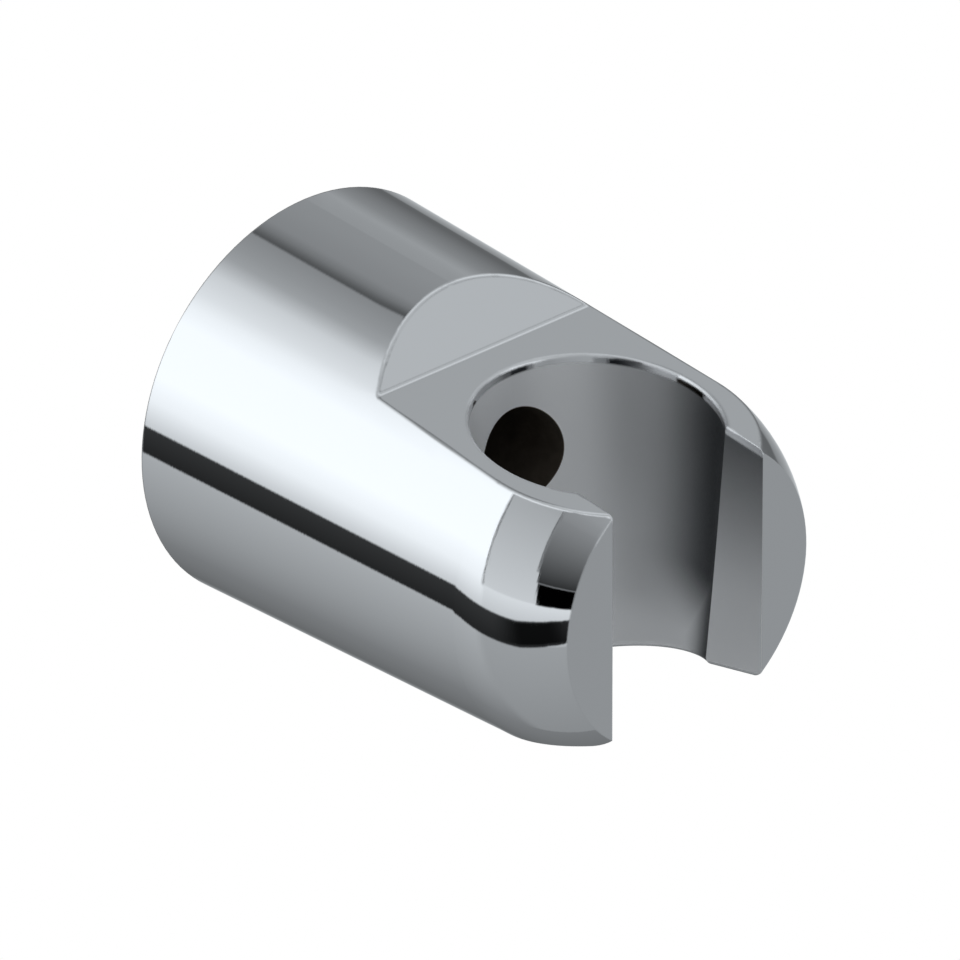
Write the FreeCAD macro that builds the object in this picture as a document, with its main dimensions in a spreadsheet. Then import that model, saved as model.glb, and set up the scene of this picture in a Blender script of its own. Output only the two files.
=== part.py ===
import FreeCAD, Part
import math
import os

import Sketcher

# Wall-fixed holder for a hand shower: one hollow casting with a plated outside.
# Frame: the wall is the plane Y = 0 and the holder reaches out of it along -Y, with +Z up.
# The origin is the centre of the rim that sits on the wall.  Lengths in millimetres, angles in degrees.

# Driving dimensions: alias, value, what it is
SIZES = [
    ("wall_diameter", 45.0, "body across its rim on the wall"),
    ("body_length", 58.0, "wall to the flat front"),
    ("body_taper", 2.15, "slope of the body's side, which narrows towards the front"),
    ("shoulder_radius", 21.0, "round between the side and the front"),
    ("front_diameter", 32.7, "flat front across its edge"),
    ("valley_setback", 17.1, "cup's axis back to the line where ramp and floor meet"),
    ("ramp_angle", 49.0, "half-moon ramp above the horizontal"),
    ("floor_angle", 5.1, "fall of the floor towards the front"),
    ("cup_setback", 13.5, "flat front back to the cup's axis"),
    ("cup_diameter", 26.0, "cup at its mouth in the floor"),
    ("cup_taper", 3.0, "slope of the cup's wall, for the cone of the hose nut"),
    ("lip_width", 2.12, "floor left on either side of the cup"),
    ("slot_step", 1.3, "cup's foot wider than the slot that the hose passes, on either side"),
    ("foot_width", 1.19, "least flat underside left on either side of the cup"),
    ("underside_angle", 12.4, "rise of the flat underside towards the front"),
    ("driver_hole_diameter", 11.1, "way in for the screw's head and the screwdriver"),
    ("screw_height", 5.25, "screw above the body's axis"),
    ("screw_hole_diameter", 5.5, "clearance for a 5 mm wall screw"),
    ("seat_thickness", 4.0, "web that the screw's head pulls on"),
    ("tube_thickness", 2.6, "wall of the screw tube"),
    ("shell_thickness", 2.8, "wall of the hollow body"),
    ("cavity_setback", 6.5, "cup's axis back to the end of the hollow, which passes the back of the cup"),
    ("rib_thickness", 2.2, "rib between screw tube and shell"),
    ("rib_setback", 1.5, "wall to the ribs' ends"),
    ("valley_round", 1.0, "inside corner between ramp and floor"),
    ("notch_edge_round", 0.6, "outer edges of ramp and floor"),
    ("cup_lip_round", 0.3, "lip of the cup in the floor"),
    ("foot_round", 0.8, "lower edges of cup and slot"),
]

# Dimensions that follow from the driving ones: alias, formula, what it is
RESULTS = [
    ("cup_distance", "body_length - cup_setback", "wall to the axis of the cup"),
    ("valley_distance", "cup_distance - valley_setback", "wall to the line where ramp and floor meet"),
    ("cavity_depth", "cup_distance - cavity_setback", "wall to the end of the hollow"),
    ("side_radius", "wall_diameter / 2 - cup_distance * tan(body_taper * 1 deg)", "body beside the cup"),
    ("floor_reach", "cup_diameter / 2 + lip_width", "half the floor's width at the cup"),
    ("mouth_height", "sqrt(side_radius ^ 2 - floor_reach ^ 2)", "mouth of the cup above the body's axis"),
    ("valley_height", "mouth_height + valley_setback * tan(floor_angle * 1 deg)", "valley above the axis"),
    ("cup_narrowing", "2 * mouth_height * tan(cup_taper * 1 deg)", "cup's radius, from mouth to foot"),
    ("foot_radius", "cup_diameter / 2 - cup_narrowing", "cup at its foot"),
    ("slot_width", "2 * (foot_radius - slot_step)", "gap at the front that the hose passes"),
    ("foot_reach", "foot_radius + foot_width", "half the underside's width at the cup"),
    ("underside_depth", "sqrt(side_radius ^ 2 - foot_reach ^ 2)", "underside below the axis, at the cup"),
]

# How far a cutting shape reaches past what it cuts
CUT_MARGIN = 5.0

# Least volume in cubic millimetres that a cut takes away, and cosine above which two directions are one
LEAST_CUT = 1.0
SAME_DIRECTION = 1 - 1e-6

doc = FreeCAD.newDocument("hand_shower_holder")
sheet = doc.addObject("Spreadsheet::Sheet", "sizes")
for row, (alias, value, meaning) in enumerate(SIZES, start=1):
    sheet.set(f"A{row}", meaning)
    sheet.set(f"B{row}", str(value))
    sheet.setAlias(f"B{row}", alias)
for row, (alias, formula, meaning) in enumerate(RESULTS, start=len(SIZES) + 1):
    sheet.set(f"A{row}", meaning)
    sheet.set(f"B{row}", f"={formula}")
    sheet.setAlias(f"B{row}", alias)
    doc.recompute()


def size(alias):
    return float(sheet.get(alias))


# Values that several sketches share, as expressions of the sheet
WALL_RADIUS = "sizes.wall_diameter / 2"
ABOVE_BODY = f"{WALL_RADIUS} + {CUT_MARGIN}"
BELOW_BODY = f"2 * ({ABOVE_BODY})"
PAST_FRONT = f"sizes.body_length + {CUT_MARGIN}"

# The same values as numbers, for the first guess of each sketch
wall_radius = size("wall_diameter") / 2
above_body = wall_radius + CUT_MARGIN
below_body = 2 * above_body
past_front = size("body_length") + CUT_MARGIN
cup_y = -size("cup_distance")
mouth_height = size("mouth_height")

# The sketch's own origin and axes, and the points of a line or circle, as constraints name them
ORIGIN = (-1, 1)
X_AXIS = -1
Y_AXIS = -2
START, END, CENTRE = 1, 2, 3


def new_body(name):
    body = doc.addObject("PartDesign::Body", name)
    body.Label = name
    return body


def new_sketch(body, name, role):
    sketch = body.newObject("Sketcher::SketchObject", name)
    plane = next(plane for plane in body.Origin.OriginFeatures if plane.Role == role)
    sketch.AttachmentSupport = (plane, [""])
    sketch.MapMode = "FlatFace"
    return sketch


def draw_line(sketch, start, end, construction=False):
    segment = Part.LineSegment(FreeCAD.Vector(*start, 0), FreeCAD.Vector(*end, 0))
    return sketch.addGeometry(segment, construction)


def draw_loop(sketch, points):
    """Closed loop of lines through the points; line N starts at point N."""
    lines = [draw_line(sketch, start, end) for start, end in zip(points, points[1:] + points[:1])]
    for this, following in zip(lines, lines[1:] + lines[:1]):
        rule(sketch, "Coincident", this, END, following, START)
    return lines


def draw_circle(sketch, centre, radius):
    return sketch.addGeometry(Part.Circle(FreeCAD.Vector(*centre, 0), FreeCAD.Vector(0, 0, 1), radius))


def rule(sketch, kind, *where):
    return sketch.addConstraint(Sketcher.Constraint(kind, *where))


def measure(sketch, name, expression, kind, *where):
    """Adds a dimension whose value follows the sheet."""
    sketch.renameConstraint(rule(sketch, kind, *where), name)
    sketch.setExpression(f"Constraints.{name}", expression)


def revolve(body, kind, name, sketch, axis):
    feature = body.newObject(kind, name)
    feature.Profile = sketch
    feature.ReferenceAxis = (sketch, [axis])
    feature.Angle = 360
    return feature


def cut_through(body, name, sketch):
    """Pocket both ways from the sketch, through everything."""
    feature = body.newObject("PartDesign::Pocket", name)
    feature.Profile = sketch
    feature.Type = "ThroughAll"
    feature.SideType = "Symmetric"
    return feature


def cut_forward(body, name, sketch, length):
    """Pocket from a sketch parallel to the wall, away from the wall."""
    feature = body.newObject("PartDesign::Pocket", name)
    feature.Profile = sketch
    feature.Type = "Length"
    feature.Reversed = True
    feature.setExpression("Length", length)
    return feature


def round_edges(body, name, radius, wanted):
    """Fillet on the edges of the latest shape whose two faces pass the test."""
    doc.recompute()
    base = body.Tip
    names = []
    for number, edge in enumerate(base.Shape.Edges, start=1):
        faces = base.Shape.ancestorsOfType(edge, Part.Face)
        if len(faces) == 2 and wanted(*faces):
            names.append(f"Edge{number}")
    if not names:
        raise RuntimeError(f"{name} found no edge on {base.Name}")
    feature = body.newObject("PartDesign::Fillet", name)
    feature.Base = (base, names)
    feature.setExpression("Radius", f"sizes.{radius}")
    doc.recompute()
    return feature


def is_flat(face, *normal):
    if face.Surface.TypeId != "Part::GeomPlane":
        return False
    return face.normalAt(0, 0).dot(FreeCAD.Vector(*normal)) > SAME_DIRECTION


def is_round_about(face, *axis):
    """True for a cylinder, cone or turned surface about the given direction."""
    surface = face.Surface
    if surface.TypeId == "Part::GeomSurfaceOfRevolution":
        direction = surface.Direction
    elif surface.TypeId in ("Part::GeomCone", "Part::GeomCylinder", "Part::GeomToroid"):
        direction = surface.Axis
    else:
        return False
    return abs(direction.dot(FreeCAD.Vector(*axis))) > SAME_DIRECTION


def is_floor(face):
    angle = math.radians(size("floor_angle"))
    return is_flat(face, 0, -math.sin(angle), math.cos(angle))


def is_ramp(face):
    angle = math.radians(size("ramp_angle"))
    return is_flat(face, 0, -math.sin(angle), math.cos(angle))


def is_body_side(face):
    return is_round_about(face, 0, 1, 0)


def is_front(face):
    return is_flat(face, 0, -1, 0)


def is_underside(face):
    angle = math.radians(size("underside_angle"))
    return is_flat(face, 0, -math.sin(angle), -math.cos(angle))


def is_cup_wall(face):
    return face.Surface.TypeId == "Part::GeomCone" and is_round_about(face, 0, 0, 1)


def is_slot_wall(face):
    return is_flat(face, 1, 0, 0) or is_flat(face, -1, 0, 0)


def pair(first, second, test_one, test_other):
    """True where one face passes one test and the other face the other test."""
    return (test_one(first) and test_other(second)) or (test_one(second) and test_other(first))


def on_valley(first, second):
    return pair(first, second, is_floor, is_ramp)


def on_notch_outline(first, second):
    side_of_floor = pair(first, second, is_floor, is_body_side)
    side_of_ramp = pair(first, second, is_ramp, is_body_side)
    return side_of_floor or side_of_ramp or pair(first, second, is_floor, is_front)


def on_cup_lip(first, second):
    return pair(first, second, is_floor, is_cup_wall)


def on_foot(first, second):
    return pair(first, second, is_cup_wall, is_underside) or pair(first, second, is_slot_wall, is_underside)


def draw_body_section(body):
    """Half section of the body on the YZ plane: rim, side, shoulder, front and axis."""
    sketch = new_sketch(body, "body_section", "YZ_Plane")
    length = size("body_length")
    front_radius = size("front_diameter") / 2
    shoulder = size("shoulder_radius")
    taper = math.radians(size("body_taper"))
    guess_y = -0.8 * length
    guess_radius = wall_radius + guess_y * math.tan(taper)
    centre = (guess_y + shoulder * math.sin(taper), guess_radius - shoulder * math.cos(taper))
    last_angle = math.atan2(front_radius - centre[1], -length - centre[0])
    circle = Part.Circle(FreeCAD.Vector(*centre, 0), FreeCAD.Vector(0, 0, 1), shoulder)

    side = draw_line(sketch, (guess_y, guess_radius), (0, wall_radius))
    rim = draw_line(sketch, (0, wall_radius), (0, 0))
    axis = draw_line(sketch, (0, 0), (-length, 0))
    front = draw_line(sketch, (-length, 0), (-length, front_radius))
    arc = sketch.addGeometry(Part.ArcOfCircle(circle, math.pi / 2 + taper, last_angle))
    rule(sketch, "Coincident", side, END, rim, START)
    rule(sketch, "Coincident", rim, END, axis, START)
    rule(sketch, "Coincident", axis, END, front, START)
    rule(sketch, "Coincident", front, END, arc, END)
    rule(sketch, "Tangent", side, START, arc, START)
    rule(sketch, "Coincident", axis, START, *ORIGIN)
    rule(sketch, "Vertical", rim)
    rule(sketch, "Horizontal", axis)
    rule(sketch, "Vertical", front)
    measure(sketch, "wall_radius", WALL_RADIUS, "DistanceY", rim, END, rim, START, wall_radius)
    measure(sketch, "reach", "sizes.body_length", "DistanceX", axis, END, axis, START, length)
    radius_rule = "sizes.front_diameter / 2"
    measure(sketch, "front_radius", radius_rule, "DistanceY", front, START, front, END, front_radius)
    measure(sketch, "shoulder", "sizes.shoulder_radius", "Radius", arc, shoulder)
    measure(sketch, "taper", "sizes.body_taper * 1 deg", "Angle", side, taper)
    return sketch


def draw_notch(body, name, depth):
    """Side view of the notch, with ramp and floor moved into the body by a depth, a sheet expression."""
    sketch = new_sketch(body, name, "YZ_Plane")
    ramp_angle = math.radians(size("ramp_angle"))
    floor_angle = math.radians(size("floor_angle"))
    valley = (-size("valley_distance"), size("valley_height"))
    ramp_top = (valley[0] + (above_body - valley[1]) / math.tan(ramp_angle), above_body)
    front_low = (-past_front, valley[1] - (past_front + valley[0]) * math.tan(floor_angle))
    corners = [valley, ramp_top, (-past_front, above_body), front_low]
    ramp, top, front, floor = draw_loop(sketch, corners)

    mean = "(sizes.ramp_angle + sizes.floor_angle) / 2 * 1 deg"
    spread = "(sizes.ramp_angle - sizes.floor_angle) / 2 * 1 deg"
    distance = f"sizes.valley_distance - {depth} * sin({mean}) / cos({spread})"
    height = f"sizes.valley_height - {depth} * cos({mean}) / cos({spread})"
    rule(sketch, "Horizontal", top)
    rule(sketch, "Vertical", front)
    measure(sketch, "valley_distance", distance, "DistanceX", ramp, START, *ORIGIN, -valley[0])
    measure(sketch, "valley_height", height, "DistanceY", *ORIGIN, ramp, START, valley[1])
    measure(sketch, "ramp_angle", "sizes.ramp_angle * 1 deg", "Angle", ramp, ramp_angle)
    measure(sketch, "floor_angle", "sizes.floor_angle * 1 deg", "Angle", floor, floor_angle)
    measure(sketch, "top_height", ABOVE_BODY, "DistanceY", *ORIGIN, top, START, above_body)
    measure(sketch, "front_reach", PAST_FRONT, "DistanceX", front, START, *ORIGIN, past_front)
    return sketch


def draw_underside(body, name, depth):
    """Side view of what the flat underside cuts off, moved up by a depth, a sheet expression."""
    sketch = new_sketch(body, name, "YZ_Plane")
    angle = math.radians(size("underside_angle"))
    front_depth = size("underside_depth") - (size("cup_setback") + CUT_MARGIN) * math.tan(angle)
    wall_depth = front_depth + (past_front + CUT_MARGIN) * math.tan(angle)
    corners = [
        (CUT_MARGIN, -wall_depth),
        (-past_front, -front_depth),
        (-past_front, -below_body),
        (CUT_MARGIN, -below_body),
    ]
    flat, front, base, back = draw_loop(sketch, corners)
    slope_angle = "sizes.underside_angle * 1 deg"
    rise = f"(sizes.cup_setback + {CUT_MARGIN}) * tan({slope_angle})"
    depth_rule = f"sizes.underside_depth - {depth} / cos({slope_angle}) - {rise}"
    rule(sketch, "Vertical", front)
    rule(sketch, "Horizontal", base)
    rule(sketch, "Vertical", back)
    measure(sketch, "front_reach", PAST_FRONT, "DistanceX", front, START, *ORIGIN, past_front)
    measure(sketch, "wall_reach", f"{CUT_MARGIN}", "DistanceX", *ORIGIN, flat, START, CUT_MARGIN)
    measure(sketch, "front_depth", depth_rule, "DistanceY", front, START, *ORIGIN, front_depth)
    measure(sketch, "slope_angle", f"180 deg - {slope_angle}", "Angle", flat, math.pi - angle)
    measure(sketch, "base_depth", BELOW_BODY, "DistanceY", base, START, *ORIGIN, below_body)
    return sketch


def draw_cup(body, name, wall):
    """Half section of the cup about its upright axis, larger all round by a wall, a sheet expression."""
    sketch = new_sketch(body, name, "YZ_Plane")
    taper = math.radians(size("cup_taper"))
    mouth_radius = size("cup_diameter") / 2
    low_radius = mouth_radius - (mouth_height + above_body) * math.tan(taper)
    high_radius = mouth_radius + (above_body - mouth_height) * math.tan(taper)
    low = (cup_y, -above_body)
    high = (cup_y, above_body)
    axis = draw_line(sketch, low, high, construction=True)
    corners = [low, (cup_y + low_radius, -above_body), (cup_y + high_radius, above_body), high]
    foot, side, top, middle = draw_loop(sketch, corners)
    mouth = draw_line(sketch, (cup_y, mouth_height), (cup_y + mouth_radius, mouth_height), construction=True)
    rule(sketch, "Coincident", axis, START, foot, START)
    rule(sketch, "Coincident", axis, END, middle, START)
    rule(sketch, "Vertical", axis)
    rule(sketch, "Horizontal", foot)
    rule(sketch, "Horizontal", top)
    rule(sketch, "Horizontal", mouth)
    rule(sketch, "PointOnObject", mouth, START, axis)
    rule(sketch, "PointOnObject", mouth, END, side)
    measure(sketch, "cup_distance", "sizes.cup_distance", "DistanceX", axis, START, *ORIGIN, -cup_y)
    measure(sketch, "low_end", ABOVE_BODY, "DistanceY", axis, START, *ORIGIN, above_body)
    measure(sketch, "high_end", ABOVE_BODY, "DistanceY", *ORIGIN, axis, END, above_body)
    measure(sketch, "mouth_height", "sizes.mouth_height", "DistanceY", *ORIGIN, mouth, START, mouth_height)
    mouth_rule = f"sizes.cup_diameter / 2 + {wall} / cos(sizes.cup_taper * 1 deg)"
    measure(sketch, "mouth_radius", mouth_rule, "DistanceX", mouth, START, mouth, END, mouth_radius)
    measure(sketch, "cup_taper", "(90 - sizes.cup_taper) * 1 deg", "Angle", side, math.pi / 2 - taper)
    return sketch


def draw_slot(body):
    """The slot from above: from the cup's axis out through the front."""
    sketch = new_sketch(body, "slot_plan", "XY_Plane")
    half = size("slot_width") / 2
    corners = [(-half, -past_front), (half, -past_front), (half, cup_y), (-half, cup_y)]
    front, right, back, left = draw_loop(sketch, corners)
    rule(sketch, "Horizontal", back)
    rule(sketch, "Vertical", left)
    rule(sketch, "Vertical", right)
    rule(sketch, "Symmetric", front, START, front, END, Y_AXIS)
    measure(sketch, "slot_width", "sizes.slot_width", "DistanceX", front, START, front, END, 2 * half)
    measure(sketch, "front_reach", PAST_FRONT, "DistanceY", front, START, *ORIGIN, past_front)
    measure(sketch, "cup_distance", "sizes.cup_distance", "DistanceY", left, START, *ORIGIN, -cup_y)
    return sketch


def draw_screw_circle(body, name, radius_guess, radius):
    """Circle about the screw's axis, on a plane parallel to the wall."""
    sketch = new_sketch(body, name, "XZ_Plane")
    circle = draw_circle(sketch, (0, size("screw_height")), radius_guess)
    rule(sketch, "PointOnObject", circle, CENTRE, Y_AXIS)
    height = size("screw_height")
    measure(sketch, "screw_height", "sizes.screw_height", "DistanceY", *ORIGIN, circle, CENTRE, height)
    measure(sketch, "radius", radius, "Radius", circle, radius_guess)
    return sketch


def draw_core_section(body):
    """Half section of the hollow about the body's axis, from outside the wall plane to its flat deep end."""
    sketch = new_sketch(body, "core_section", "YZ_Plane")
    depth = size("cavity_depth")
    taper = math.radians(size("body_taper"))
    mouth_radius = wall_radius - size("shell_thickness") / math.cos(taper) + CUT_MARGIN * math.tan(taper)
    deep_radius = mouth_radius - (CUT_MARGIN + depth) * math.tan(taper)
    corners = [(CUT_MARGIN, 0), (-depth, 0), (-depth, deep_radius), (CUT_MARGIN, mouth_radius)]
    axis, deep_end, side, mouth = draw_loop(sketch, corners)
    mouth_rule = (
        f"{WALL_RADIUS} - sizes.shell_thickness / cos(sizes.body_taper * 1 deg)"
        f" + {CUT_MARGIN} * tan(sizes.body_taper * 1 deg)"
    )
    rule(sketch, "Horizontal", axis)
    rule(sketch, "Vertical", deep_end)
    rule(sketch, "Vertical", mouth)
    rule(sketch, "PointOnObject", axis, START, X_AXIS)
    measure(sketch, "outside", f"{CUT_MARGIN}", "DistanceX", *ORIGIN, axis, START, CUT_MARGIN)
    measure(sketch, "depth", "sizes.cavity_depth", "DistanceX", axis, END, *ORIGIN, depth)
    measure(sketch, "mouth_radius", mouth_rule, "DistanceY", mouth, END, mouth, START, mouth_radius)
    measure(sketch, "taper", "sizes.body_taper * 1 deg", "Angle", side, taper)
    return sketch


def draw_rib(body, name, guess_low, guess_high):
    """End view of a rib, from low left corner to high right one, mirrored about the upright plane."""
    sketch = new_sketch(body, name, "XZ_Plane")
    sketch.setExpression("AttachmentOffset.Base.z", "sizes.rib_setback")
    corners = [guess_low, (guess_high[0], guess_low[1]), guess_high, (guess_low[0], guess_high[1])]
    low, right, top, left = draw_loop(sketch, corners)
    rule(sketch, "Symmetric", low, START, low, END, Y_AXIS)
    rule(sketch, "Vertical", right)
    rule(sketch, "Vertical", left)
    rule(sketch, "Horizontal", top)
    return sketch, low, top


def draw_upright_rib(body):
    """Rib through the screw tube, from the bottom of the shell to its top."""
    half = size("rib_thickness") / 2
    sketch, low, top = draw_rib(body, "upright_rib_end", (-half, -above_body), (half, above_body))
    measure(sketch, "thickness", "sizes.rib_thickness", "DistanceX", low, START, low, END, 2 * half)
    measure(sketch, "low_end", ABOVE_BODY, "DistanceY", low, START, *ORIGIN, above_body)
    measure(sketch, "top_end", ABOVE_BODY, "DistanceY", *ORIGIN, top, START, above_body)
    return sketch


def draw_level_rib(body):
    """Rib through the screw tube, from one side of the shell to the other."""
    half = size("rib_thickness") / 2
    height = size("screw_height")
    guess_low = (-above_body, height - half)
    guess_high = (above_body, height + half)
    sketch, low, top = draw_rib(body, "level_rib_end", guess_low, guess_high)
    measure(sketch, "reach", BELOW_BODY, "DistanceX", low, START, low, END, below_body)
    measure(sketch, "thickness", "sizes.rib_thickness", "DistanceY", low, START, top, START, 2 * half)
    middle = "sizes.screw_height + sizes.rib_thickness / 2"
    measure(sketch, "top_end", middle, "DistanceY", *ORIGIN, top, START, height + half)
    return sketch


def make_rear_core():
    """The hollow of the casting as a solid: what the mould's core fills behind cup, tube and ribs."""
    body = new_body("rear_core")
    revolve(body, "PartDesign::Revolution", "core_blank", draw_core_section(body), "H_Axis")
    cut_through(body, "core_below_notch", draw_notch(body, "core_notch_side", "sizes.shell_thickness"))
    underside = draw_underside(body, "core_underside_side", "sizes.shell_thickness")
    cut_through(body, "core_above_underside", underside)
    jacket_section = draw_cup(body, "core_cup_section", "sizes.shell_thickness")
    revolve(body, "PartDesign::Groove", "core_behind_cup", jacket_section, "Axis0")
    tube_rule = "sizes.driver_hole_diameter / 2 + sizes.tube_thickness"
    tube_guess = size("driver_hole_diameter") / 2 + size("tube_thickness")
    cut_through(body, "core_round_tube", draw_screw_circle(body, "tube_circle", tube_guess, tube_rule))
    cut_forward(body, "core_beside_upright_rib", draw_upright_rib(body), PAST_FRONT)
    cut_forward(body, "core_beside_level_rib", draw_level_rib(body), PAST_FRONT)
    doc.recompute()
    return body


def make_holder_body(core):
    """The casting: turned outside, notch, underside, cup and slot, then hollow back and screw tube."""
    body = new_body("holder_body")
    revolve(body, "PartDesign::Revolution", "turned_body", draw_body_section(body), "H_Axis")
    cut_through(body, "notch", draw_notch(body, "notch_side", "0"))
    cut_through(body, "flat_underside", draw_underside(body, "underside_side", "0"))
    round_edges(body, "valley_rounding", "valley_round", on_valley)
    round_edges(body, "notch_edge_rounding", "notch_edge_round", on_notch_outline)
    revolve(body, "PartDesign::Groove", "cup", draw_cup(body, "cup_section", "0"), "Axis0")
    cut_through(body, "slot", draw_slot(body))
    round_edges(body, "foot_rounding", "foot_round", on_foot)
    round_edges(body, "cup_lip_rounding", "cup_lip_round", on_cup_lip)

    hollow = body.newObject("PartDesign::Boolean", "hollow_back")
    hollow.Type = "Cut"
    hollow.Group = [core]

    driver_rule = "sizes.driver_hole_diameter / 2"
    driver_guess = size("driver_hole_diameter") / 2
    driver_circle = draw_screw_circle(body, "driver_circle", driver_guess, driver_rule)
    driver_circle.setExpression("AttachmentOffset.Base.z", "sizes.seat_thickness")
    cut_forward(body, "driver_hole", driver_circle, "sizes.cup_distance - sizes.seat_thickness")
    screw_rule = "sizes.screw_hole_diameter / 2"
    screw_guess = size("screw_hole_diameter") / 2
    screw_circle = draw_screw_circle(body, "screw_circle", screw_guess, screw_rule)
    cut_forward(body, "screw_hole", screw_circle, "sizes.cup_distance")
    doc.recompute()
    return body


def check_features():
    """Stops at a failed feature, a broken shape or a cut that took nothing away."""
    for item in doc.Objects:
        if "Invalid" in item.State or "Error" in item.State:
            raise RuntimeError(f"{item.Name} failed: {item.State}")
        if not item.isDerivedFrom("PartDesign::Feature"):
            continue
        if item.Shape.isNull() or not item.Shape.isValid() or len(item.Shape.Solids) != 1:
            raise RuntimeError(f"{item.Name} is not one sound solid")
        removes = item.TypeId in ("PartDesign::Pocket", "PartDesign::Groove", "PartDesign::Boolean")
        if removes and item.Shape.Volume > item.BaseFeature.Shape.Volume - LEAST_CUT:
            raise RuntimeError(f"{item.Name} cut nothing away")


holder = make_holder_body(make_rear_core())
check_features()
holder.Placement = FreeCAD.Placement()

os.makedirs("parts", exist_ok=True)
holder.Shape.exportStep("parts/holder_body.step")
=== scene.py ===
import math

import bpy
from mathutils import Matrix, Vector

MM = 0.001

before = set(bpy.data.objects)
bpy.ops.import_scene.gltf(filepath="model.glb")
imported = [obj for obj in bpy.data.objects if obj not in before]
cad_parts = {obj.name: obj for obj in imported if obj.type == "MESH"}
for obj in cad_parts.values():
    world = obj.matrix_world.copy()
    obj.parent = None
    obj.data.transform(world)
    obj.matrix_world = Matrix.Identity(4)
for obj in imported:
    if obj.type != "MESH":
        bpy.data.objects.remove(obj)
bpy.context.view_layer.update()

# Places on the casting, in millimetres, as its drawing gives them
WALL_RADIUS = 22.5
SIDE_SLOPE = math.tan(math.radians(2.15))
VALLEY_Y = -27.4
VALLEY_Z = 15.85
RAMP_SLOPE = math.tan(math.radians(49.0))
FLOOR_SLOPE = math.tan(math.radians(5.1))
CUP_AXIS_Y = -44.5
CUP_MOUTH_Z = 14.33
CUP_MOUTH_RADIUS = 13.0
CUP_SLOPE = math.tan(math.radians(3.0))
SLOT_HALF_WIDTH = 10.2
UNDERSIDE_Z = -16.52
UNDERSIDE_SLOPE = math.tan(math.radians(12.4))
HOLLOW_END_Y = -38.0
DRIVER_HOLE_Z = 5.25
DRIVER_HOLE_RADIUS = 5.55

# The corner between cup and slot: its place level with the holder's axis, and how far it leans out per mm up
CORNER_Y = -51.2
CORNER_LEAN = 0.1

# Camera: where the photograph was taken from, with the holder's middle as its target
CAMERA_AZIMUTH = math.radians(-41.87)
CAMERA_ELEVATION = math.radians(29.05)
CAMERA_ROLL = math.radians(-0.106)
CAMERA_DISTANCE = 1.605
CAMERA_TARGET = Vector((0.68, -25.97, 0.0)) * MM
SENSOR_WIDTH = 36.0
LENS = 589.9

# Chrome gives back about this share of the light that falls on it
PLATE_SHARE = 0.9

# Numbers of the mix node's sockets: its two numbers, its two colours and the colour that comes out
NUMBER_A, NUMBER_B = 2, 3
COLOUR_A, COLOUR_B, COLOUR_OUT = 6, 7, 2

HALF_TURN = 180.0
STUDIO_TINT = (0.955, 1.0, 1.03, 1.0)
BOARD_EDGE = 0.6


def linear(hex_colour):
    """sRGB hex to the linear colour with alpha that nodes take."""
    parts = [int(hex_colour[i:i + 2], 16) / 255 for i in (1, 3, 5)]
    return [part / 12.92 if part <= 0.04045 else ((part + 0.055) / 1.055) ** 2.4 for part in parts] + [1.0]


def grey(level):
    """Brightness of a surface whose image in the chrome looks like this grey out of 255."""
    return linear("#%02x%02x%02x" % (level, level, level))[0] / PLATE_SHARE


def add_node(tree, kind, settings=None, inputs=None):
    """Adds a node; inputs maps a socket's name or number to a value, a node or one of its outputs."""
    node = tree.nodes.new(kind)
    for name, value in (settings or {}).items():
        setattr(node, name, value)
    for key, value in (inputs or {}).items():
        if isinstance(value, bpy.types.Node):
            value = value.outputs[0]
        if isinstance(value, bpy.types.NodeSocket):
            tree.links.new(value, node.inputs[key])
        else:
            node.inputs[key].default_value = value
    return node


def combine(tree, operation, first, second):
    return add_node(tree, "ShaderNodeMath", {"operation": operation}, {0: first, 1: second})


def step_up(tree, value, start, end):
    """Smooth change from 0 at start to 1 at end."""
    reach = {"Value": value, "From Min": start, "From Max": end}
    return add_node(tree, "ShaderNodeMapRange", {"interpolation_type": "SMOOTHSTEP"}, reach)


# The studio as the holder's side shows it in the photograph: angle about the holder's axis in degrees from
# straight up, positive to the right, and the grey that the chrome shows there, out of 255. The hidden side is
# a guess.
SURROUND = [
    (-180, 121), (-150, 150), (-124, 168), (-105, 206), (-93, 241), (-80, 255), (-50, 253), (-40, 241),
    (-32, 222), (-20, 205), (-14, 180), (-9, 158), (-2, 147), (10, 134), (10.6, 76), (13, 90), (17, 116),
    (22, 132), (48, 142), (62, 153), (72, 132), (95, 97), (101, 96), (103, 134), (118, 170), (123, 196),
    (131, 188), (142, 126), (150, 101), (180, 121),
]

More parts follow.
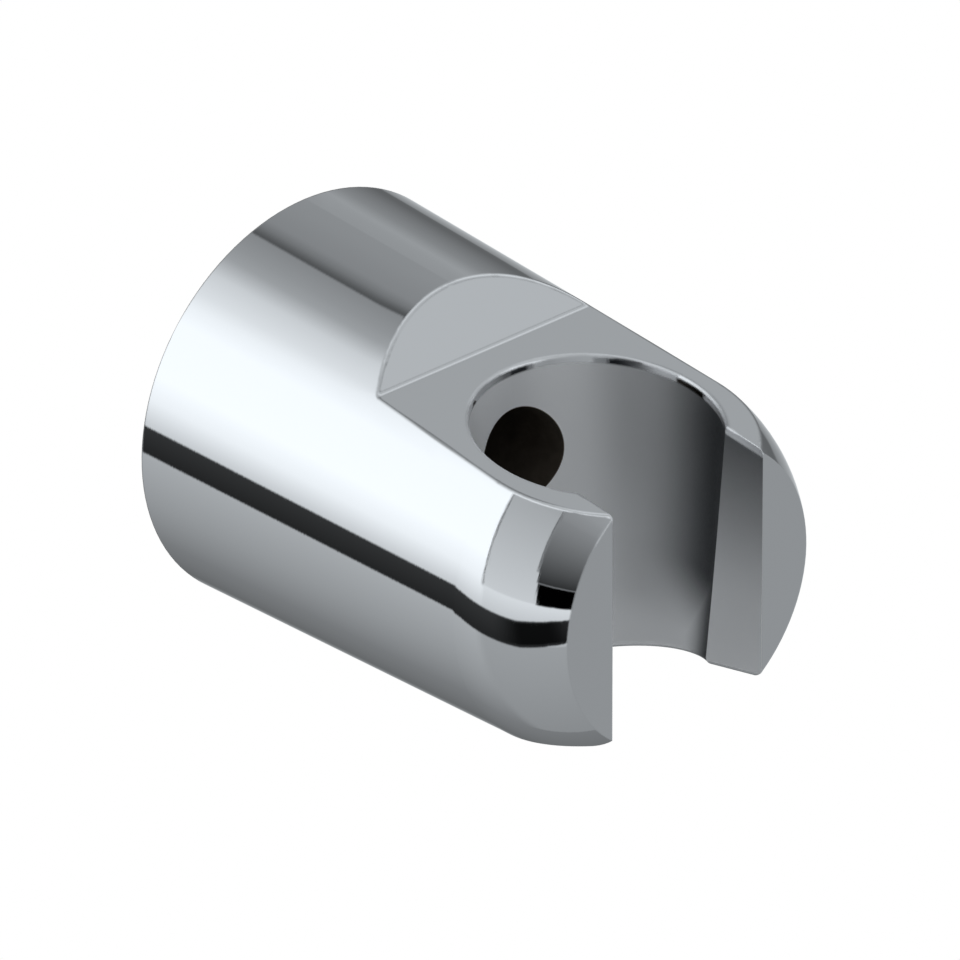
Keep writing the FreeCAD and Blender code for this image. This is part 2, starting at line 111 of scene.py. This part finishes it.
# Boards and screens in front of it: the angles from and to with the grey at each, then from and to along
# the holder's axis, as the part of a ray's direction that points into the wall, how soft those two edges
# are, and how far the board bends up towards the front, in degrees. The other two edges blur over twice
# BOARD_EDGE degrees.
BOARDS = [
    ("pale wall", (-184, 138), (-120, 156), -1.1, 0.42, 0.10, 0),
    ("screen", (-97, 202), (-40, 162), -0.60, 0.36, 0.012, 0),
    ("screen edge", (-96, 30), (-48, 30), 0.335, 0.352, 0.008, 0),
    ("bright gap", (-110, 190), (-95.5, 218), -0.60, 0.36, 0.05, 0),
    ("top sheet", (24, 160), (64, 160), 0.40, 0.585, 0.02, 0),
    ("top sheet's glow", (-20, 170), (64, 180), -0.42, 0.40, 0.10, 0),
    ("top light", (-8, 200), (70, 214), -0.06, 0.20, 0.06, 0),
    ("right wall", (90, 148), (184, 140), -1.1, 0.10, 0.20, 0),
    ("front screen", (-84, 42), (-28, 156), -0.60, -0.19, 0.012, 0),
    ("front screen edge", (-78, 12), (-28, 12), -0.196, -0.178, 0.008, 0),
    ("black board", (-96.5, 1), (-83.5, 1), -0.60, -0.20, 0.012, 0),
    ("dark strip", (-122.6, 34), (-107, 50), -0.60, 1.1, 0.012, 9),
    ("strip's dark end", (-121, 12), (-108, 14), -0.60, 0.25, 0.30, 9),
    ("front wall", (-124, 150), (-10, 165), -1.1, -0.56, 0.05, 0),
    ("front wall, right", (-16, 180), (90, 180), -1.1, -0.42, 0.05, 0),
    ("front light", (50, 235), (120, 250), -1.1, -0.67, 0.03, 0),
]


def ring_place(degrees):
    return (degrees + HALF_TURN) / (2 * HALF_TURN)


def add_ramp(tree, place, stops):
    """Colour ramp through stops of place and brightness."""
    node = add_node(tree, "ShaderNodeValToRGB", {}, {"Fac": place})
    ramp = node.color_ramp
    ramp.elements.remove(ramp.elements[-1])
    ramp.elements[0].position = stops[0][0]
    for position, _ in stops[1:]:
        ramp.elements.new(position)
    for element, (_, brightness) in zip(ramp.elements, stops):
        element.color = (brightness, brightness, brightness, 1.0)
    return node


def make_studio():
    """World that lights the holder: a softbox at its left, a dark strip below it and screens in front."""
    world = bpy.data.worlds.new("soft_studio")
    bpy.context.scene.world = world
    world.use_nodes = True
    tree = world.node_tree
    tree.nodes.clear()
    direction = add_node(tree, "ShaderNodeTexCoord").outputs["Generated"]
    right, inward, up = add_node(tree, "ShaderNodeSeparateXYZ", {}, {"Vector": direction}).outputs
    angle = combine(tree, "MULTIPLY", combine(tree, "ARCTAN2", right, up), HALF_TURN / math.pi)
    reach = {"Value": angle, "From Min": -HALF_TURN, "From Max": HALF_TURN}
    place = add_node(tree, "ShaderNodeMapRange", {}, reach)
    brightness = add_ramp(tree, place, [(ring_place(stop), grey(level)) for stop, level in SURROUND])
    frontward = combine(tree, "MINIMUM", inward, 0.0)
    for name, (start, start_level), (end, end_level), near, far, softness, bend in BOARDS:
        bent = combine(tree, "ADD", angle, combine(tree, "MULTIPLY", frontward, bend))
        mask = step_up(tree, bent, start, start + 2 * BOARD_EDGE)
        mask = combine(tree, "MULTIPLY", mask, step_up(tree, bent, end + BOARD_EDGE, end - BOARD_EDGE))
        mask = combine(tree, "MULTIPLY", mask, step_up(tree, inward, near, near + softness))
        mask = combine(tree, "MULTIPLY", mask, step_up(tree, inward, far, far - softness))
        levels = {"To Min": grey(start_level), "To Max": grey(end_level)}
        reach = {"Value": bent, "From Min": start, "From Max": end} | levels
        shade = add_node(tree, "ShaderNodeMapRange", {}, reach)
        layers = {0: mask, NUMBER_A: brightness, NUMBER_B: shade}
        brightness = add_node(tree, "ShaderNodeMix", {"label": name}, layers)
    light = add_node(tree, "ShaderNodeBackground", {}, {"Color": STUDIO_TINT, "Strength": brightness})
    add_node(tree, "ShaderNodeOutputWorld", {}, {"Surface": light})


def make_backdrop():
    """Plain white all round and a floor below, seen by the camera only."""
    material = bpy.data.materials.new("matt_white_paper")
    material.use_nodes = True
    tree = material.node_tree
    tree.nodes.clear()
    light = add_node(tree, "ShaderNodeEmission", {}, {"Color": (1.0, 1.0, 1.0, 1.0), "Strength": 1.0})
    add_node(tree, "ShaderNodeOutputMaterial", {}, {"Surface": light})
    reach = 3.0
    floor_height = -2.5
    square = ((-reach, -reach), (reach, -reach), (reach, reach), (-reach, reach))
    heights = {"floor": (floor_height, floor_height), "backdrop": (-reach, reach)}
    for name, (low, high) in heights.items():
        mesh = bpy.data.meshes.new(name)
        corners = [(x, y, z) for z in sorted({low, high}) for x, y in square]
        faces = [(0, 1, 2, 3)]
        if high > low:
            faces += [(4, 5, 6, 7), (0, 1, 5, 4), (1, 2, 6, 5), (2, 3, 7, 6), (3, 0, 4, 7)]
        mesh.from_pydata(corners, [], faces)
        mesh.materials.append(material)
        screen = bpy.data.objects.new(name, mesh)
        bpy.context.scene.collection.objects.link(screen)
        screen.visible_glossy = False
        screen.visible_diffuse = False


def distance(tree, first, second):
    """Distance from an axis, from the two coordinates across it."""
    across = add_node(tree, "ShaderNodeCombineXYZ", {}, {"X": first, "Y": second})
    return add_node(tree, "ShaderNodeVectorMath", {"operation": "LENGTH"}, {0: across}).outputs["Value"]


def slanted(tree, y, z, slope, y_start, z_start):
    """Height of a slanted plane through y_start and z_start, above the point."""
    height = combine(tree, "MULTIPLY", combine(tree, "SUBTRACT", y, y_start), slope)
    return combine(tree, "SUBTRACT", combine(tree, "ADD", height, z_start), z)


def make_plating():
    """Bright chrome plate: a mirror outside, satin with painted shade in the cup and on the slot's walls, bare
    dull metal in the holes and the back.
    """
    material = bpy.data.materials.new("bright_chrome_plate")
    material.use_nodes = True
    tree = material.node_tree
    tree.nodes.clear()
    place = add_node(tree, "ShaderNodeTexCoord").outputs["Object"]
    in_mm = add_node(tree, "ShaderNodeVectorMath", {"operation": "SCALE"}, {0: place, "Scale": 1 / MM})
    x, y, z = add_node(tree, "ShaderNodeSeparateXYZ", {}, {"Vector": in_mm}).outputs

    under_mouth = combine(tree, "SUBTRACT", CUP_MOUTH_Z, z)
    narrowing = combine(tree, "MULTIPLY", under_mouth, CUP_SLOPE)
    cup_radius = combine(tree, "SUBTRACT", CUP_MOUTH_RADIUS, narrowing)
    from_cup_axis = distance(tree, x, combine(tree, "SUBTRACT", y, CUP_AXIS_Y))
    behind_cup = combine(tree, "SUBTRACT", from_cup_axis, cup_radius)
    on_cup_wall = step_up(tree, behind_cup, 0.14, 0.06)

    from_screw_axis = distance(tree, x, combine(tree, "SUBTRACT", z, DRIVER_HOLE_Z))
    in_hole = step_up(tree, from_screw_axis, DRIVER_HOLE_RADIUS + 0.1, DRIVER_HOLE_RADIUS + 0.04)

    side_radius = combine(tree, "ADD", combine(tree, "MULTIPLY", y, SIDE_SLOPE), WALL_RADIUS)
    under_side = combine(tree, "SUBTRACT", side_radius, distance(tree, x, z))
    under_floor = slanted(tree, y, z, FLOOR_SLOPE, VALLEY_Y, VALLEY_Z)
    behind_ramp = slanted(tree, y, z, RAMP_SLOPE, VALLEY_Y, VALLEY_Z)
    under_notch = combine(tree, "MAXIMUM", under_floor, behind_ramp)
    below_underside = slanted(tree, y, z, -UNDERSIDE_SLOPE, CUP_AXIS_Y, UNDERSIDE_Z)
    over_underside = combine(tree, "MULTIPLY", below_underside, -1.0)
    off_middle = combine(tree, "ABSOLUTE", x, 0.0)
    before_cup_axis = step_up(tree, y, CUP_AXIS_Y - 0.5, CUP_AXIS_Y - 1.0)
    within_slot = step_up(tree, off_middle, SLOT_HALF_WIDTH + 0.06, SLOT_HALF_WIDTH + 0.02)
    on_slot_wall = combine(tree, "MULTIPLY", within_slot, before_cup_axis)
    on_walls = combine(tree, "MAXIMUM", on_cup_wall, on_slot_wall)
    in_cup = combine(tree, "MULTIPLY", on_walls, step_up(tree, under_floor, 0.7, 1.1))
    by_floor = step_up(tree, under_floor, 1.6, 0.8)
    near_lip = combine(tree, "MULTIPLY", by_floor, step_up(tree, behind_cup, 1.4, 0.8))

    depth = combine(tree, "MINIMUM", combine(tree, "MINIMUM", under_side, under_notch), over_underside)
    depth = combine(tree, "MINIMUM", depth, behind_cup)
    behind_hollow_end = step_up(tree, y, HOLLOW_END_Y - 0.4, HOLLOW_END_Y - 0.2)
    in_hollow = combine(tree, "MULTIPLY", step_up(tree, depth, 1.2, 1.6), behind_hollow_end)
    on_wall_rim = step_up(tree, y, -0.06, -0.02)
    bare = combine(tree, "MAXIMUM", combine(tree, "MAXIMUM", in_hole, in_hollow), on_wall_rim)

    # Edges are softened over a quarter of a millimetre and the cup's lip over half, so each has a bright line
    reach = {"Value": near_lip, "To Min": 0.25 * MM, "To Max": 0.5 * MM}
    edge_width = add_node(tree, "ShaderNodeMapRange", {}, reach)
    soft_edges = add_node(tree, "ShaderNodeBevel", {"samples": 4}, {"Radius": edge_width})

    # Polishing wheels leave faint marks round the body, about 0.2 mm apart and some millimetres long
    stretch = add_node(tree, "ShaderNodeVectorMath", {"operation": "MULTIPLY"}, {0: in_mm, 1: (0.4, 5.0, 0.4)})
    marks = add_node(tree, "ShaderNodeTexNoise", {}, {"Vector": stretch, "Scale": 1.0, "Detail": 3.0})
    reach = {"Value": marks, "From Min": 0.3, "From Max": 0.7, "To Min": 0.01, "To Max": 0.04}
    plate_roughness = add_node(tree, "ShaderNodeMapRange", {}, reach)
    marked = add_node(
        tree, "ShaderNodeBump", {},
        {"Strength": 0.04, "Distance": 0.05 * MM, "Height": marks, "Normal": soft_edges},
    )
    plate = add_node(
        tree, "ShaderNodeBsdfPrincipled", {},
        {"Base Color": linear("#f2f3f5"), "Metallic": 1.0, "Roughness": plate_roughness, "Normal": marked},
    )

    # The polishing wheel can't reach into the cup, so the plate stays satin there. Its colour carries painted
    # shade, darker towards the slot, into the slot's corner and up the slot's wall, as the photograph shows it.
    grain = add_node(tree, "ShaderNodeTexNoise", {}, {"Vector": in_mm, "Scale": 3.0, "Detail": 4.0})
    reach = {"Value": grain, "From Min": 0.3, "From Max": 0.7, "To Min": 0.40, "To Max": 0.48}
    satin_roughness = add_node(tree, "ShaderNodeMapRange", {}, reach)
    # Painted shade: the satin darkens towards the slot, above the foot, near the slot's corner, and up the
    # slot's wall
    towards_slot = step_up(tree, y, CUP_AXIS_Y + 12.0, CUP_AXIS_Y - 5.5)
    above_foot = step_up(tree, z, -15.0, -5.0)
    before_corner = combine(tree, "ADD", y, combine(tree, "MULTIPLY", z, CORNER_LEAN))
    by_corner = step_up(tree, before_corner, CORNER_Y + 5.0, CORNER_Y)
    cup_shade = combine(tree, "MAXIMUM", combine(tree, "MULTIPLY", towards_slot, above_foot), by_corner)
    towards_top = step_up(tree, z, -14.0, 21.5)
    shade = add_node(tree, "ShaderNodeMix", {}, {0: on_slot_wall, NUMBER_A: cup_shade, NUMBER_B: towards_top})
    # Near-white satin, mixed towards this dark grey where the shade is painted
    shades = {0: shade, COLOUR_A: linear("#fbfbfc"), COLOUR_B: linear("#2e3135")}
    painted_shade_satin_colour = add_node(tree, "ShaderNodeMix", {"data_type": "RGBA"}, shades).outputs[COLOUR_OUT]
    satin = add_node(
        tree, "ShaderNodeBsdfPrincipled", {},
        {"Base Color": painted_shade_satin_colour, "Metallic": 0.55, "Roughness": satin_roughness},
    )

    # Bare metal in the holes and the hollow back, dull and brown: seen in the hole, a guess at the back
    blotches = add_node(tree, "ShaderNodeTexNoise", {}, {"Vector": in_mm, "Scale": 0.6, "Detail": 4.0})
    tones = {"Factor": blotches, COLOUR_A: linear("#4b433b"), COLOUR_B: linear("#71675c")}
    brown = add_node(tree, "ShaderNodeMix", {"data_type": "RGBA"}, tones)
    cast = add_node(
        tree, "ShaderNodeBsdfPrincipled", {},
        {"Base Color": brown.outputs[COLOUR_OUT], "Metallic": 0.6, "Roughness": 0.6},
    )

    plated = add_node(tree, "ShaderNodeMixShader", {}, {0: in_cup, 1: plate, 2: satin})
    surface = add_node(tree, "ShaderNodeMixShader", {}, {0: bare, 1: plated, 2: cast})
    add_node(tree, "ShaderNodeOutputMaterial", {}, {"Surface": surface})
    return material


def make_camera():
    data = bpy.data.cameras.new("camera")
    data.sensor_width = SENSOR_WIDTH
    data.lens = LENS
    data.clip_end = 100.0
    camera = bpy.data.objects.new("camera", data)
    back = Vector((
        math.sin(CAMERA_AZIMUTH) * math.cos(CAMERA_ELEVATION),
        -math.cos(CAMERA_AZIMUTH) * math.cos(CAMERA_ELEVATION),
        math.sin(CAMERA_ELEVATION),
    ))
    level_right = Vector((math.cos(CAMERA_AZIMUTH), math.sin(CAMERA_AZIMUTH), 0.0))
    level_up = back.cross(level_right)
    right = math.cos(CAMERA_ROLL) * level_right + math.sin(CAMERA_ROLL) * level_up
    turn = Matrix((right, back.cross(right), back)).transposed().to_4x4()
    camera.matrix_world = Matrix.Translation(CAMERA_TARGET + CAMERA_DISTANCE * back) @ turn
    bpy.context.scene.collection.objects.link(camera)
    bpy.context.scene.camera = camera


bpy.context.scene.view_settings.view_transform = "Standard"
make_studio()
make_backdrop()
make_camera()
plating = make_plating()
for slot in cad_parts["holder_body"].material_slots:
    slot.material = plating
